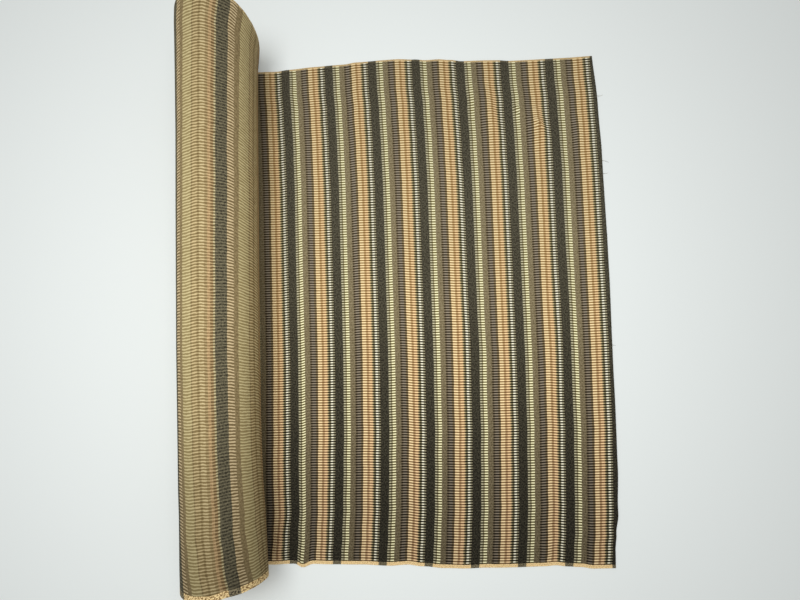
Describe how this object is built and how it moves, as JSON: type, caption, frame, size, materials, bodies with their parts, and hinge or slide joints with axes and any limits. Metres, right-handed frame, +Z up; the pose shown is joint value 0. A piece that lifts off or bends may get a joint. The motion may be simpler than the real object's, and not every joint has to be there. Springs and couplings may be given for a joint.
{
  "type": "length of fabric, part rolled",
  "caption": "Full-width length of ribbed striped furnishing fabric, wound back side out into a roll with its loose end lying flat beside it.",
  "frame": {"origin": "middle of the footprint, on the surface that the cloth lies on", "axes": "+Z up, +Y along the roll and the stripes, +X from the roll towards the cut end"},
  "size_m": [1.1917, 1.5166, 0.2112],
  "materials": {
    "striped_cloth": "matt ribbed weave in black, tan, cream and brown stripes"
  },
  "bodies": {
    "root": {"cloth": "striped_cloth"}
  },
  "joints": []
}
